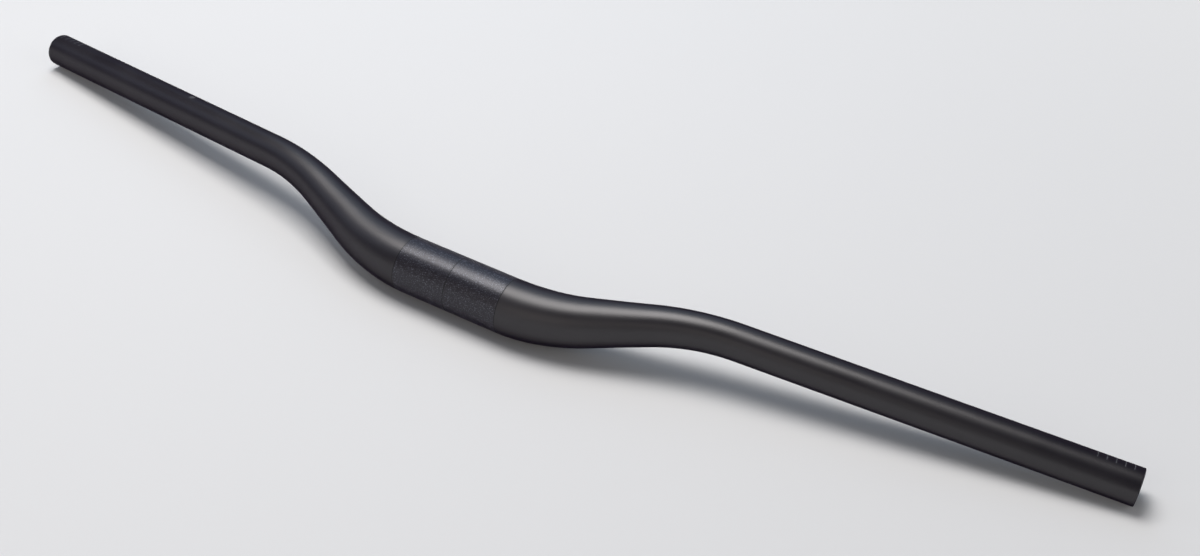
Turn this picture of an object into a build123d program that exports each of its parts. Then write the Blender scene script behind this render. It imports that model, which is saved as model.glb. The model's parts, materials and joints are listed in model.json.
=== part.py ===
from build123d import *
from math import asin, atan2, degrees, hypot, radians, cos, sin, tan
import os

# Sizes of the bar in millimetres and degrees, as it is ridden:
# X runs along the clamp towards one grip, Y goes back to the rider and Z goes up.
BAR_WIDTH = 800.0           # between the middles of the two end faces
CLAMP_DIAMETER = 35.0       # outside, where the stem holds the bar
GRIP_DIAMETER = 22.2        # outside, where grips and levers sit
CLAMP_WALL = 2.2            # thickness of the tube's wall at the clamp
GRIP_WALL = 2.6             # thickness of the tube's wall at the grips
RISE = 33.2                 # height of the upper bend's corner above the clamp's axis
BACKSWEEP = 8.0             # angle of the grips towards the rider, seen from above
UPSWEEP = 6.0               # angle of the grips above the level
LOWER_CORNER = 60.6         # from the bar's middle out to the corner of the lower bend
UPPER_CORNER = 146.1        # from the bar's middle out to the corner of the upper bend
LOWER_BEND_RADIUS = 146.0   # of the tube's axis
UPPER_BEND_RADIUS = 176.0   # of the tube's axis
TAPER_EASE_IN = 39.0        # length over which the taper leaves the clamp's size
TAPER_EASE_OUT = 65.0       # length over which the taper settles to the grip's size
END_EDGE_RADIUS = 0.6       # rounding of the rims at both ends
TAPER_SECTIONS = 32         # steps of the tapering stretch, enough for a smooth skin

clamp_radius = CLAMP_DIAMETER / 2
grip_radius = GRIP_DIAMETER / 2
clamp_bore_radius = clamp_radius - CLAMP_WALL
grip_bore_radius = grip_radius - GRIP_WALL

# Corners and directions of the axis on the +X side.
clamp_direction = Vector(1, 0, 0)
lower_corner = Vector(LOWER_CORNER, 0, 0)
upper_corner = Vector(UPPER_CORNER, 0, RISE)
rise_direction = (upper_corner - lower_corner).normalized()
grip_direction = Vector(
    cos(radians(BACKSWEEP)) * cos(radians(UPSWEEP)),
    sin(radians(BACKSWEEP)) * cos(radians(UPSWEEP)),
    sin(radians(UPSWEEP)),
)
grip_run = (BAR_WIDTH / 2 - UPPER_CORNER) / grip_direction.X
end_middle = upper_corner + grip_direction * grip_run


def bend_setback(direction_in, direction_out, bend_radius):
    """Distance from a bend's corner back to where its arc begins."""
    turn = direction_in.get_angle(direction_out)
    return bend_radius * tan(radians(turn / 2))


lower_setback = bend_setback(clamp_direction, rise_direction, LOWER_BEND_RADIUS)
upper_setback = bend_setback(rise_direction, grip_direction, UPPER_BEND_RADIUS)
clamp_end = lower_corner - clamp_direction * lower_setback
rise_start = lower_corner + rise_direction * lower_setback
rise_end = upper_corner - rise_direction * upper_setback
grip_start = upper_corner + grip_direction * upper_setback

# The bent stretch of the axis, from the straight clamp to the straight grip.
bent_axis = Wire([
    TangentArc(clamp_end, rise_start, tangent=clamp_direction).edge(),
    Line(rise_start, rise_end).edge(),
    TangentArc(rise_end, grip_start, tangent=rise_direction).edge(),
])


def section_at(position, direction, radius):
    """A round section of the tube, square to its axis."""
    return Plane(origin=position, x_dir=(0, 1, 0), z_dir=direction) * Circle(radius)


def tapered_stretch(radius_at_clamp, radius_at_grip):
    """The bent stretch on the +X side, narrowing smoothly from the clamp to the grip."""
    length = bent_axis.length
    radius_curve = Bezier(
        (0, radius_at_clamp),
        (TAPER_EASE_IN, radius_at_clamp),
        (length - TAPER_EASE_OUT, radius_at_grip),
        (length, radius_at_grip),
    )
    sections = []
    for step in range(TAPER_SECTIONS + 1):
        station = radius_curve @ (step / TAPER_SECTIONS)
        share = min(station.X / length, 1.0)
        sections.append(section_at(bent_axis @ share, bent_axis % share, station.Y))
    return loft(sections)


def straight_stretch(start, direction, length, radius):
    """A straight round stretch of the tube."""
    return extrude(section_at(start, direction, radius), amount=length, dir=direction)


def round_bar(radius_at_clamp, radius_at_grip):
    """A solid bar along the whole axis, with square ends."""
    clamp_length = 2 * clamp_end.X
    grip_length = (end_middle - grip_start).length
    clamp = straight_stretch(clamp_end * -1, clamp_direction, clamp_length, radius_at_clamp)
    bend = tapered_stretch(radius_at_clamp, radius_at_grip)
    grip = straight_stretch(grip_start, grip_direction, grip_length, radius_at_grip)
    arm = bend + grip
    return clamp + arm + mirror(arm, about=Plane.YZ)


# The hollow tube, with its four end rims rounded.
handlebar = round_bar(clamp_radius, grip_radius) - round_bar(clamp_bore_radius, grip_bore_radius)
end_faces = handlebar.faces().sort_by(Axis.X)
rims = end_faces[0].edges() + end_faces[-1].edges()
handlebar = fillet(rims, END_EDGE_RADIUS)

# Unheld, the bar lies on the back of its clamp and on its two ends: it leans about X until they are level.
# Z then goes up from what it lies on, and X and the origin stay on the clamp's axis.
end_height_angle = degrees(atan2(end_middle.Z, end_middle.Y))
end_distance = hypot(end_middle.Y, end_middle.Z)
lean = end_height_angle + degrees(asin((clamp_radius - grip_radius) / end_distance))
handlebar = Rot(X=-lean) * handlebar

os.makedirs("parts", exist_ok=True)
export_step(handlebar, "parts/handlebar.step")
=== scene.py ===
import json
from math import cos, pi, radians, sin, tan

import bpy
from mathutils import Matrix, Vector, noise


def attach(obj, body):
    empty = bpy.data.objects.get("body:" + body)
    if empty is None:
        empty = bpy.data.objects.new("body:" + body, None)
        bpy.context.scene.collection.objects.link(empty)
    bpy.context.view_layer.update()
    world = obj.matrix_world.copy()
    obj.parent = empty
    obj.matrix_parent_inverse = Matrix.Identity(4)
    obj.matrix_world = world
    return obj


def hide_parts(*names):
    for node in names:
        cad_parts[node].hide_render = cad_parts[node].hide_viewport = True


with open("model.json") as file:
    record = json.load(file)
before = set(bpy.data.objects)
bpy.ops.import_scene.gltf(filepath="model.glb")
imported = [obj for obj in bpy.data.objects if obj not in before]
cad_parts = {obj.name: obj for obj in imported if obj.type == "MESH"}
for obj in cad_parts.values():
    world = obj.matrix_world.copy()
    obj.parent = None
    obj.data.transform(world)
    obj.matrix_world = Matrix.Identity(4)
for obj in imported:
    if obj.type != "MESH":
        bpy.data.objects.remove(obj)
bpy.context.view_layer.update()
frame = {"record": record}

# Sizes of the bar that the frame's mounts don't give, in metres.
BAR_WIDTH = 0.8             # between the middles of the two end faces
LOWER_CORNER = 0.0606       # from the bar's middle out to the corner of the lower bend
UPPER_CORNER = 0.1461       # from the bar's middle out to the corner of the upper bend
LOWER_BEND_RADIUS = 0.146   # of the tube's axis
UPPER_BEND_RADIUS = 0.176   # of the tube's axis
TAPER_EASE_IN = 0.039       # length over which the taper leaves the clamp's size
TAPER_EASE_OUT = 0.065      # length over which the taper settles to the grip's size
CLAMP_WALL = 0.0022         # thickness of the tube's wall at the clamp
END_EDGE_RADIUS = 0.0006    # rounding of the rims at both ends

# The gritted band that the stem holds, and the fine grooves at its middle and its two edges.
BAND_HALF = 0.0368          # from the bar's middle to the groove at the band's edge
GRIT_DEPTH = 0.00002        # how far the hollows of the grit lie below the tube's size
GRIT_GRAIN = 0.0009         # size of the grit's lumps
GROOVE_WIDTH = 0.00045
GROOVE_DEPTH = 0.00008

# The printed marks at each end, where the bar may be cut shorter.
MARK_COUNT = 5
FIRST_MARK = 0.0048         # from the end of the bar
MARK_SPACING = 0.0051
MARK_SHIFT = 0.0012         # how far the print sits to the left of even on both ends
MARK_WIDTH = 0.0003
MARK_START = radians(6)     # angle from the top of the bar, as it is ridden, towards the front
MARK_END = radians(66)

# A faint fleck of dust on the left grip.
FLECK_ALONG = -0.2603       # from the bar's middle along its axis
FLECK_ANGLE = radians(54)   # from the top of the bar, as it is ridden, towards the front
FLECK_CORE = 0.0012         # radius of the fleck's full strength
FLECK_RIM = 0.0026          # radius at which it has faded out

# How finely the mesh is divided.
SEGMENTS = 180              # round the tube
BAND_STEP = 0.00062         # between rings on the gritted band
BEND_STEP = 0.0035          # between rings on the bends and the taper
GRIP_STEP = 0.012           # between rings on the straight grips
BORE_STEP = 0.006           # between rings inside the tube
RIM_STEPS = 5               # in the rounding of a rim
EDGE_SUPPORT = 0.00015      # flat strip that keeps an edge crisp
PLACE_DIGITS = 7            # decimals of a metre to which rings at the same place count as one
TAPER_HALVINGS = 40         # in the search for a place on the taper's curve

# Finishes of the tube's surface, in the order of its material slots.
PAINT, GRIT, GROOVE, MARK, END, BORE = range(6)

# The flat map of the finishes: the skin unrolled, fine finishes stretched, in rows.
MAP_NAME = "OFBake"
MAP_ROWS = 3
MAP_GAP = 0.02              # free strip along each side of a row, as a share of the row's height
MAP_STRETCH = {PAINT: 1.0, GRIT: 2.5, GROOVE: 6.0, MARK: 8.0, END: 2.0, BORE: 0.15}

# The finishes. Paired values run with a noise. Grains and heights are in metres.
NOISE_SPAN = (0.35, 0.65)   # values of a noise between which a finish runs, where it has no other span
NOISE_DETAIL = 2.0          # finer layers of a noise, where it has no other detail
PAINT_COLOURS = ((0.058, 0.057, 0.0575), (0.062, 0.061, 0.0615))
PAINT_ROUGHNESS = (0.37, 0.40)
PAINT_CLOUD_GRAIN = 0.03
PAINT_CLOUD_DETAIL = 3.0
PEEL_GRAIN = 0.0016
PEEL_HEIGHT = 0.000004
TOOTH_GRAIN = 0.00025
TOOTH_HEIGHT = 0.000002
COAT_EDGE_SHINE = 0.30      # a black coat mirrors little even where it is seen edge-on
FLECK_METALLIC = 0.4        # the dust is partly matt, where the coat only mirrors
VIOLET_CAST = (0.6, 0.24, 1.0)
CAST_WEIGHT = 0.02
CAST_ROUGHNESS = 0.8
SPECK_GRAIN = 0.00065
SPECK_DETAIL = 1.0
SPECK_SPAN = (0.55, 0.70)   # values of the noise between which a speck fades in
GRIT_COLOURS = ((0.049, 0.049, 0.052), (0.098, 0.101, 0.120))
GRIT_ROUGHNESS = (0.30, 0.35)
GRIT_METALLIC = (1.0, 0.1)
GRIT_INDEX = 1.6            # refractive index of the specks
GRIT_EDGE_SHINE = 0.4
GRIT_DETAIL = 3.0
GRIT_HEIGHT = 0.000024
GROOVE_GRAIN = 0.0004
GROOVE_COLOURS = ((0.003, 0.003, 0.003), (0.006, 0.006, 0.007))
GROOVE_ROUGHNESS = (0.5, 0.6)
GROOVE_SHINE = 0.3
MARK_GRAIN = 0.0012
MARK_COLOURS = ((0.08, 0.08, 0.088), (0.15, 0.15, 0.165))
MARK_ROUGHNESS = (0.45, 0.6)
END_GRAIN = 0.0005
END_COLOURS = ((0.055, 0.055, 0.057), (0.080, 0.080, 0.082))
END_ROUGHNESS = (0.45, 0.6)
END_EDGE_SHINE = 0.1
END_HEIGHT = 0.00001
BORE_GRAIN = 0.004
BORE_DETAIL = 4.0
BORE_COLOURS = ((0.05, 0.05, 0.05), (0.11, 0.11, 0.112))
BORE_ROUGHNESS = (0.4, 0.6)
BORE_HEIGHT = 0.0001

# The camera, from the photograph's outline.
CAMERA_PLACE = Vector((0.5081, -0.6957, 0.6633))
CAMERA_AIM = Vector((0.0658, 0.0542, 0.0))
CAMERA_ROLL = radians(2.56)
CAMERA_LENS = 54.21         # millimetres, like the sensor's width
SENSOR_WIDTH = 36.0

# The studio. Lamp powers are in watts.
FLOOR_RADIUS = 1.25
FLOOR_FADE_START = 0.3      # from the middle; further out, the floor gives way to the pale room
FLOOR_COLOUR = (0.74, 0.74, 0.74)
FLOOR_ROUGHNESS = 0.9
KEY_PLACE = Vector((-0.61, 0.29, 2.18))
KEY_SIZE = (1.36, 1.28)
KEY_POWER = 47.0
KEY_COLOUR = (1.0, 0.98, 0.965)
FRONT_PLACE = Vector((-0.26, -1.8, 1.14))
FRONT_SIZE = (1.43, 1.17)
FRONT_POWER = 5.3
FRONT_COLOUR = (1.0, 0.94, 0.88)
BACK_PLACE = Vector((-0.80, 1.3, 1.12))
BACK_SIZE = (1.46, 1.5)
BACK_POWER = 7.4
BACK_COLOUR = (0.64, 0.80, 1.0)
LEFT_PLACE = Vector((-2.04, -0.55, 1.74))
LEFT_SIZE = (1.41, 1.52)
LEFT_POWER = 5.4
LEFT_COLOUR = (0.76, 0.84, 1.0)
RIGHT_PLACE = Vector((2.1, 0.3, 1.3))
RIGHT_SIZE = (1.4, 1.4)
RIGHT_POWER = 6.0
RIGHT_COLOUR = (1.0, 1.0, 1.0)
PALE_ROOM = (0.86, 0.86, 0.865)
DIM_ROOM = (0.042, 0.046, 0.060)
PALE_UP_TO = 0.12           # sine of the height above the horizon up to which the room is pale
DIM_FROM = 0.30             # and from which it is dim

# Radii and the right grip's axis, from the frame's mounts.
mounts = {mount["name"]: mount for mount in frame["record"]["mounts"]}


def mount_radius(name):
    """Radius of a mount in metres."""
    return mounts[name]["dims"]["r_mm"] / 1000


clamp_radius = mount_radius("stem_clamp")
grip_radius = mount_radius("grip_right")
grip_bore_radius = mount_radius("end_bore_right")
clamp_bore_radius = clamp_radius - CLAMP_WALL
clamp_direction = Vector(mounts["stem_clamp"]["axis"])
grip_point = Vector(mounts["grip_right"]["pos_m"])
grip_direction = Vector(mounts["grip_right"]["axis"])


def grip_line_at(x):
    """The point of the right grip's axis at a given x."""
    return grip_point + grip_direction * ((x - grip_point.x) / grip_direction.x)


# The axis of the bar's right half: straight clamp, bend, straight rise, bend, straight grip.
lower_corner = clamp_direction * LOWER_CORNER
upper_corner = grip_line_at(UPPER_CORNER)
end_middle = grip_line_at(BAR_WIDTH / 2)
rise_direction = (upper_corner - lower_corner).normalized()
ridden_up = Vector((0, upper_corner.y, upper_corner.z)).normalized()


def straight_leg(start, end):
    """Length of a straight leg of the axis, and a function giving its points and directions."""
    direction = (end - start).normalized()

    def place(along):
        return start + direction * along, direction

    return (end - start).length, place


def bend_leg(start, direction_in, direction_out, radius):
    """Length of a bend of the axis, and a function giving its points and directions."""
    turn = direction_in.angle(direction_out)
    inward = (direction_out - direction_in * cos(turn)).normalized()

    def place(along):
        swept = along / radius
        point = start + (direction_in * sin(swept) + inward * (1 - cos(swept))) * radius
        return point, direction_in * cos(swept) + inward * sin(swept)

    return turn * radius, place


lower_setback = LOWER_BEND_RADIUS * tan(clamp_direction.angle(rise_direction) / 2)
upper_setback = UPPER_BEND_RADIUS * tan(rise_direction.angle(grip_direction) / 2)
clamp_end = lower_corner - clamp_direction * lower_setback
rise_start = lower_corner + rise_direction * lower_setback
rise_end = upper_corner - rise_direction * upper_setback
grip_start = upper_corner + grip_direction * upper_setback
legs = [
    straight_leg(Vector(), clamp_end),
    bend_leg(clamp_end, clamp_direction, rise_direction, LOWER_BEND_RADIUS),
    straight_leg(rise_start, rise_end),
    bend_leg(rise_end, rise_direction, grip_direction, UPPER_BEND_RADIUS),
    straight_leg(grip_start, end_middle),
]
leg_lengths = [length for length, place in legs]
half_length = sum(leg_lengths)
taper_start = leg_lengths[0]
taper_end = half_length - leg_lengths[-1]


def axis_at(along):
    """Middle and direction of the tube at a distance along its axis, which is negative on the left half."""
    left_over = abs(along)
    for length, place in legs[:-1]:
        if left_over <= length:
            break
        left_over -= length
    else:
        place = legs[-1][1]
    point, direction = place(left_over)
    if along < 0:
        return Vector((-point.x, point.y, point.z)), Vector((direction.x, -direction.y, -direction.z))
    return point, direction


def ring_at(along):
    """Middle of a ring round the tube, and its upward and forward directions as the bar is ridden."""
    middle, direction = axis_at(along)
    up = (ridden_up - direction * ridden_up.dot(direction)).normalized()
    return middle, up, direction.cross(up)


def taper_share(along):
    """How far the radius has gone from the clamp's, 0, to the grip's, 1, along a smooth cubic curve."""
    length = taper_end - taper_start
    into = min(max(abs(along) - taper_start, 0.0), length)
    low, high = 0.0, 1.0
    for halving in range(TAPER_HALVINGS):
        t = (low + high) / 2
        ease = 3 * t * (1 - t) ** 2 * TAPER_EASE_IN
        settle = 3 * t ** 2 * (1 - t) * (length - TAPER_EASE_OUT)
        if ease + settle + t ** 3 * length < into:
            low = t
        else:
            high = t
    return t * t * (3 - 2 * t)


def skin_radius(along):
    """Radius of the tube's outside."""
    return clamp_radius + (grip_radius - clamp_radius) * taper_share(along)


def bore_radius(along):
    """Radius of the tube's inside."""
    return clamp_bore_radius + (grip_bore_radius - clamp_bore_radius) * taper_share(along)


def steps_between(start, end, step):
    """Even places from start to end, both included, about a step apart."""
    count = max(1, round((end - start) / step))
    return [start + (end - start) * index / count for index in range(count + 1)]


def groove_places(middle):
    """Places of the rings that shape a groove."""
    offsets = (GROOVE_WIDTH / 4, GROOVE_WIDTH / 2, GROOVE_WIDTH / 2 + EDGE_SUPPORT)
    return [middle + side * offset for side in (-1, 1) for offset in offsets]


def mark_places(side):
    """Distances from the bar's middle to the marks on its right side, 1, or its left side, -1."""
    first = half_length - FIRST_MARK - side * MARK_SHIFT
    return [first - MARK_SPACING * number for number in range(MARK_COUNT)]


def skin_places(side):
    """Distances from the bar's middle to the rings outside one half, up to the rim's rounding."""
    groove_side = GROOVE_WIDTH / 2 + EDGE_SUPPORT
    rim_start = half_length - END_EDGE_RADIUS
    marks = mark_places(side)
    places = groove_places(0.0) + groove_places(BAND_HALF)
    places += steps_between(groove_side, BAND_HALF - groove_side, BAND_STEP)
    places += steps_between(BAND_HALF + groove_side, taper_end, BEND_STEP)
    places += steps_between(taper_end, marks[-1] - MARK_SPACING, GRIP_STEP)
    for mark in marks:
        places += [mark - MARK_WIDTH / 2, mark + MARK_WIDTH / 2]
    places += [rim_start - 2 * EDGE_SUPPORT, rim_start]
    return sorted({round(place, PLACE_DIGITS) for place in places if place > 0})


def groove_depth(along):
    """Depth of the grooves below the tube's size."""
    distance = min(abs(along), abs(abs(along) - BAND_HALF))
    share = (GROOVE_WIDTH / 2 - distance) / (GROOVE_WIDTH / 4)
    return GROOVE_DEPTH * min(max(share, 0.0), 1.0)


def grit_depth(along, point):
    """Depth of the grit's hollows at a point of the band, fading out at the grooves."""
    distance = min(abs(along), BAND_HALF - abs(along)) - GROOVE_WIDTH / 2
    fade = min(max(distance / GRIT_GRAIN, 0.0), 1.0)
    return GRIT_DEPTH * fade * (0.5 + 0.5 * noise.noise(point / GRIT_GRAIN))


def half_section(side):
    """Section of the wall on one half, as places and radii: out along the skin, back along the bore."""
    section = [(place, skin_radius(place) - groove_depth(place)) for place in skin_places(side)]
    corner = half_length - END_EDGE_RADIUS
    turns = [pi / 2 * step / RIM_STEPS for step in range(RIM_STEPS + 1)]
    for turn in turns[1:]:
        outer = grip_radius - END_EDGE_RADIUS * (1 - cos(turn))
        section.append((corner + END_EDGE_RADIUS * sin(turn), outer))
    for turn in turns:
        inner = grip_bore_radius + END_EDGE_RADIUS * (1 - sin(turn))
        section.append((corner + END_EDGE_RADIUS * cos(turn), inner))
    bore_places = steps_between(0.0, corner - 2 * EDGE_SUPPORT, BORE_STEP)
    section += [(place, bore_radius(place)) for place in reversed(bore_places)]
    return [(side * place, radius) for place, radius in section]


def finish_at(along, radius, angle):
    """Number of the finish at a place of the tube's surface."""
    from_end = half_length - abs(along)
    if from_end < END_EDGE_RADIUS:
        return END
    if radius < (skin_radius(along) + bore_radius(along)) / 2:
        return BORE
    if groove_depth(along) > 0:
        return GROOVE
    if abs(along) < BAND_HALF:
        return GRIT
    marks = mark_places(1 if along > 0 else -1)
    on_mark = min(abs(abs(along) - mark) for mark in marks) < MARK_WIDTH / 2
    if on_mark and MARK_START < angle < MARK_END:
        return MARK
    return PAINT


def map_places(steps):
    """Distance of each step's start along the flat map, and of the last one's end."""
    mark_angle = (MARK_START + MARK_END) / 2
    places = [0.0]
    for (along, radius), (next_along, next_radius) in steps:
        length = Vector((next_along - along, next_radius - radius)).length
        finish = finish_at((along + next_along) / 2, (radius + next_radius) / 2, mark_angle)
        places.append(places[-1] + length * MAP_STRETCH[finish])
    return places


def map_faces(places):
    """Corners on the flat map of all faces, step by step and round each step, as one list of numbers."""
    longest = max(end - start for start, end in zip(places, places[1:]))
    row_length = places[-1] / MAP_ROWS
    corners = []
    for start, end in zip(places, places[1:]):
        row = int(start / row_length)
        left = (start - row * row_length) / (row_length + longest)
        right = (end - row * row_length) / (row_length + longest)
        heights = [
            1 - (row + MAP_GAP + (1 - 2 * MAP_GAP) * index / SEGMENTS) / MAP_ROWS
            for index in range(SEGMENTS + 1)
        ]
        for high, low in zip(heights, heights[1:]):
            corners += [left, high, left, low, right, low, right, high]
    return corners


def tube_mesh(name):
    """The whole tube as one closed skin: rings of points out along the outside, back along the bore."""
    section = half_section(1) + half_section(-1)[-2::-1]
    angles = [2 * pi * index / SEGMENTS for index in range(SEGMENTS)]
    points = []
    for along, radius in section:
        middle, up, front = ring_at(along)
        gritted = finish_at(along, radius, 0.0) == GRIT
        for angle in angles:
            outward = up * cos(angle) + front * sin(angle)
            point = middle + outward * radius
            if gritted:
                point -= outward * grit_depth(along, point)
            points.append(point)
    steps = list(zip(section, section[1:] + section[:1]))
    faces = []
    finishes = []
    for ring, ((along, radius), (next_along, next_radius)) in enumerate(steps):
        next_ring = (ring + 1) % len(section)
        for index in range(SEGMENTS):
            next_index = (index + 1) % SEGMENTS
            faces.append((
                ring * SEGMENTS + index,
                ring * SEGMENTS + next_index,
                next_ring * SEGMENTS + next_index,
                next_ring * SEGMENTS + index,
            ))
            face_angle = 2 * pi * (index + 0.5) / SEGMENTS
            finishes.append(finish_at((along + next_along) / 2, (radius + next_radius) / 2, face_angle))
    mesh = bpy.data.meshes.new(name)
    mesh.from_pydata(points, [], faces)
    mesh.polygons.foreach_set("material_index", finishes)
    mesh.polygons.foreach_set("use_smooth", [True] * len(faces))
    mesh.uv_layers.new(name=MAP_NAME).data.foreach_set("uv", map_faces(map_places(steps)))
    mesh.update()
    return mesh


def new_finish(name):
    """A node material with its node tree, its shader and its object coordinates."""
    material = bpy.data.materials.new(name)
    material.use_nodes = True
    tree = material.node_tree
    coordinates = tree.nodes.new("ShaderNodeTexCoord").outputs["Object"]
    return material, tree, tree.nodes["Principled BSDF"], coordinates


def add_noise(tree, coordinates, grain, detail=NOISE_DETAIL):
    """A noise pattern whose lumps are about one grain apart."""
    pattern = tree.nodes.new("ShaderNodeTexNoise")
    pattern.inputs["Scale"].default_value = 1 / grain
    pattern.inputs["Detail"].default_value = detail
    tree.links.new(coordinates, pattern.inputs["Vector"])
    return pattern.outputs["Fac"]


def add_distance(tree, coordinates, place):
    """The distance from a place."""
    distance = tree.nodes.new("ShaderNodeVectorMath")
    distance.operation = "DISTANCE"
    distance.inputs[1].default_value = place
    tree.links.new(coordinates, distance.inputs[0])
    return distance.outputs["Value"]


def drive_colour(tree, pattern, socket, colours, span=NOISE_SPAN):
    """Lets a pattern run a socket between two colours over a span of its values."""
    ramp = tree.nodes.new("ShaderNodeValToRGB")
    for element, place, colour in zip(ramp.color_ramp.elements, span, colours):
        element.position = place
        element.color = (*colour, 1.0)
    tree.links.new(pattern, ramp.inputs["Fac"])
    tree.links.new(ramp.outputs["Color"], socket)


def drive_number(tree, pattern, socket, numbers, span=NOISE_SPAN):
    """Lets a pattern run a socket between two numbers over a span of its values."""
    remap = tree.nodes.new("ShaderNodeMapRange")
    remap.interpolation_type = "SMOOTHSTEP"
    remap.inputs["From Min"].default_value = span[0]
    remap.inputs["From Max"].default_value = span[1]
    remap.inputs["To Min"].default_value = numbers[0]
    remap.inputs["To Max"].default_value = numbers[1]
    tree.links.new(pattern, remap.inputs["Value"])
    tree.links.new(remap.outputs["Result"], socket)


def add_bump(tree, shader, layers):
    """Bumps from patterns and their heights, each on top of the one before."""
    below = None
    for pattern, height in layers:
        bump = tree.nodes.new("ShaderNodeBump")
        bump.inputs["Distance"].default_value = height
        tree.links.new(pattern, bump.inputs["Height"])
        if below:
            tree.links.new(below, bump.inputs["Normal"])
        below = bump.outputs["Normal"]
    tree.links.new(below, shader.inputs["Normal"])


def mottle(tree, shader, pattern, colours, roughness):
    """Lets a pattern run a shader's colour and roughness."""
    drive_colour(tree, pattern, shader.inputs["Base Color"], colours)
    drive_number(tree, pattern, shader.inputs["Roughness"], roughness)


def darken_edge(shader, share):
    """Sets how much of its mirroring a coat keeps where it is seen edge-on."""
    shader.inputs["Specular Tint"].default_value = (share, share, share, 1.0)


def add_violet_cast(shader):
    """The faint violet that black coats show where they mirror little."""
    shader.inputs["Sheen Weight"].default_value = CAST_WEIGHT
    shader.inputs["Sheen Roughness"].default_value = CAST_ROUGHNESS
    shader.inputs["Sheen Tint"].default_value = (*VIOLET_CAST, 1.0)


def satin_paint():
    """Satin black paint with a faint orange peel, and the fleck of dust."""
    material, tree, shader, coordinates = new_finish("satin_paint")
    cloud = add_noise(tree, coordinates, PAINT_CLOUD_GRAIN, PAINT_CLOUD_DETAIL)
    peel = add_noise(tree, coordinates, PEEL_GRAIN)
    tooth = add_noise(tree, coordinates, TOOTH_GRAIN)
    middle, up, front = ring_at(FLECK_ALONG)
    outward = up * cos(FLECK_ANGLE) + front * sin(FLECK_ANGLE)
    from_fleck = add_distance(tree, coordinates, middle + outward * skin_radius(FLECK_ALONG))
    mottle(tree, shader, cloud, PAINT_COLOURS, PAINT_ROUGHNESS)
    fading = (FLECK_CORE, FLECK_RIM)
    drive_number(tree, from_fleck, shader.inputs["Metallic"], (FLECK_METALLIC, 1.0), fading)
    darken_edge(shader, COAT_EDGE_SHINE)
    add_violet_cast(shader)
    add_bump(tree, shader, [(peel, PEEL_HEIGHT), (tooth, TOOTH_HEIGHT)])
    return material


def clamp_grit():
    """The band's gritty coat: black with pale specks that catch the light."""
    material, tree, shader, coordinates = new_finish("clamp_grit")
    specks = add_noise(tree, coordinates, SPECK_GRAIN, SPECK_DETAIL)
    lumps = add_noise(tree, coordinates, GRIT_GRAIN, GRIT_DETAIL)
    drive_colour(tree, specks, shader.inputs["Base Color"], GRIT_COLOURS, SPECK_SPAN)
    drive_number(tree, lumps, shader.inputs["Roughness"], GRIT_ROUGHNESS)
    drive_number(tree, specks, shader.inputs["Metallic"], GRIT_METALLIC, SPECK_SPAN)
    shader.inputs["IOR"].default_value = GRIT_INDEX
    darken_edge(shader, GRIT_EDGE_SHINE)
    add_violet_cast(shader)
    add_bump(tree, shader, [(lumps, GRIT_HEIGHT)])
    return material


def groove_black():
    """The bottom of a groove, dull black."""
    material, tree, shader, coordinates = new_finish("groove_black")
    mottle(tree, shader, add_noise(tree, coordinates, GROOVE_GRAIN), GROOVE_COLOURS, GROOVE_ROUGHNESS)
    shader.inputs["Specular IOR Level"].default_value = GROOVE_SHINE
    return material


def mark_grey():
    """A thin print of grey ink, worn in places."""
    material, tree, shader, coordinates = new_finish("mark_grey")
    mottle(tree, shader, add_noise(tree, coordinates, MARK_GRAIN), MARK_COLOURS, MARK_ROUGHNESS)
    return material


def end_black():
    """The square-cut end under the paint, finely roughened by the cutter."""
    material, tree, shader, coordinates = new_finish("end_black")
    grain = add_noise(tree, coordinates, END_GRAIN)
    mottle(tree, shader, grain, END_COLOURS, END_ROUGHNESS)
    shader.inputs["Metallic"].default_value = 1.0
    darken_edge(shader, END_EDGE_SHINE)
    add_violet_cast(shader)
    add_bump(tree, shader, [(grain, END_HEIGHT)])
    return material


def bore_grey():
    """The rough inside of the tube."""
    material, tree, shader, coordinates = new_finish("bore_grey")
    folds = add_noise(tree, coordinates, BORE_GRAIN, BORE_DETAIL)
    mottle(tree, shader, folds, BORE_COLOURS, BORE_ROUGHNESS)
    add_bump(tree, shader, [(folds, BORE_HEIGHT)])
    return material


# The bar.
handlebar = bpy.data.objects.new("riser_bar", tube_mesh("riser_bar"))
bpy.context.scene.collection.objects.link(handlebar)
for finish in (satin_paint(), clamp_grit(), groove_black(), mark_grey(), end_black(), bore_grey()):
    handlebar.data.materials.append(finish)
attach(handlebar, "root")
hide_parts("handlebar")


def pale_floor():
    """A large round sheet that the bar lies on, fading out at its rim."""
    material, tree, shader, coordinates = new_finish("pale_floor")
    shader.inputs["Base Color"].default_value = (*FLOOR_COLOUR, 1.0)
    shader.inputs["Roughness"].default_value = FLOOR_ROUGHNESS
    shader.inputs["Specular IOR Level"].default_value = 0.0
    clear = tree.nodes.new("ShaderNodeBsdfTransparent")
    fading = tree.nodes.new("ShaderNodeMixShader")
    from_middle = add_distance(tree, coordinates, Vector())
    drive_number(tree, from_middle, fading.inputs["Fac"], (0.0, 1.0), (FLOOR_FADE_START, FLOOR_RADIUS))
    tree.links.new(shader.outputs["BSDF"], fading.inputs[1])
    tree.links.new(clear.outputs["BSDF"], fading.inputs[2])
    tree.links.new(fading.outputs["Shader"], tree.nodes["Material Output"].inputs["Surface"])
    angles = [2 * pi * index / SEGMENTS for index in range(SEGMENTS)]
    rim = [(FLOOR_RADIUS * cos(angle), FLOOR_RADIUS * sin(angle), -clamp_radius) for angle in angles]
    mesh = bpy.data.meshes.new("floor")
    mesh.from_pydata(rim, [], [tuple(range(SEGMENTS))])
    mesh.materials.append(material)
    return bpy.data.objects.new("floor", mesh)


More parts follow.
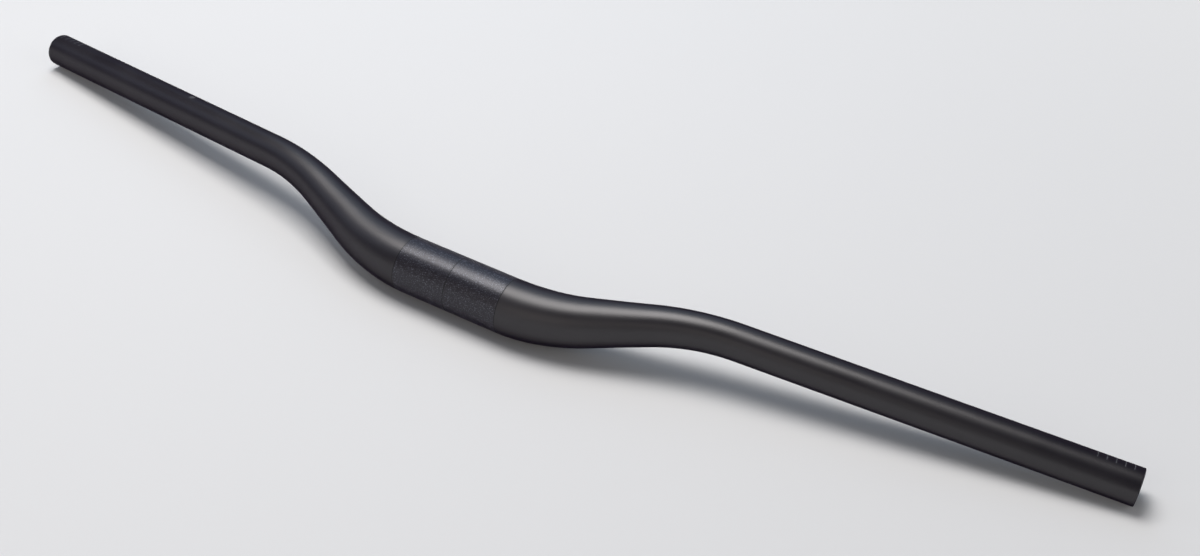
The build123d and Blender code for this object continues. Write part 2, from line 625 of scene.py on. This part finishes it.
def soft_panel(name, place, size, power, colour):
    """A soft rectangular lamp aimed at the bar's middle, which the camera doesn't see."""
    lamp = bpy.data.lights.new(name, "AREA")
    lamp.shape = "RECTANGLE"
    lamp.size, lamp.size_y = size
    lamp.energy = power
    lamp.color = colour
    panel = bpy.data.objects.new(name, lamp)
    panel.location = place
    panel.rotation_euler = (-place).to_track_quat("-Z", "Y").to_euler()
    panel.visible_camera = False
    bpy.context.scene.collection.objects.link(panel)


def studio_room():
    """The room round the floor: pale near the horizon and below it, dim overhead."""
    world = bpy.data.worlds.new("studio")
    world.use_nodes = True
    tree = world.node_tree
    directions = tree.nodes.new("ShaderNodeTexCoord").outputs["Generated"]
    parts = tree.nodes.new("ShaderNodeSeparateXYZ")
    tree.links.new(directions, parts.inputs["Vector"])
    colour = tree.nodes["Background"].inputs["Color"]
    drive_colour(tree, parts.outputs["Z"], colour, (PALE_ROOM, DIM_ROOM), (PALE_UP_TO, DIM_FROM))
    return world


# The studio.
floor = pale_floor()
bpy.context.scene.collection.objects.link(floor)
soft_panel("key", KEY_PLACE, KEY_SIZE, KEY_POWER, KEY_COLOUR)
soft_panel("front", FRONT_PLACE, FRONT_SIZE, FRONT_POWER, FRONT_COLOUR)
soft_panel("back", BACK_PLACE, BACK_SIZE, BACK_POWER, BACK_COLOUR)
soft_panel("left", LEFT_PLACE, LEFT_SIZE, LEFT_POWER, LEFT_COLOUR)
soft_panel("right", RIGHT_PLACE, RIGHT_SIZE, RIGHT_POWER, RIGHT_COLOUR)
bpy.context.scene.world = studio_room()

# The camera.
lens = bpy.data.cameras.new("camera")
lens.lens = CAMERA_LENS
lens.sensor_width = SENSOR_WIDTH
lens.sensor_fit = "HORIZONTAL"
camera = bpy.data.objects.new("camera", lens)
looking = (CAMERA_AIM - CAMERA_PLACE).to_track_quat("-Z", "Y").to_matrix().to_4x4()
camera.matrix_world = Matrix.Translation(CAMERA_PLACE) @ looking @ Matrix.Rotation(CAMERA_ROLL, 4, "Z")
bpy.context.scene.collection.objects.link(camera)
bpy.context.scene.camera = camera
bpy.context.scene.view_settings.view_transform = "Standard"
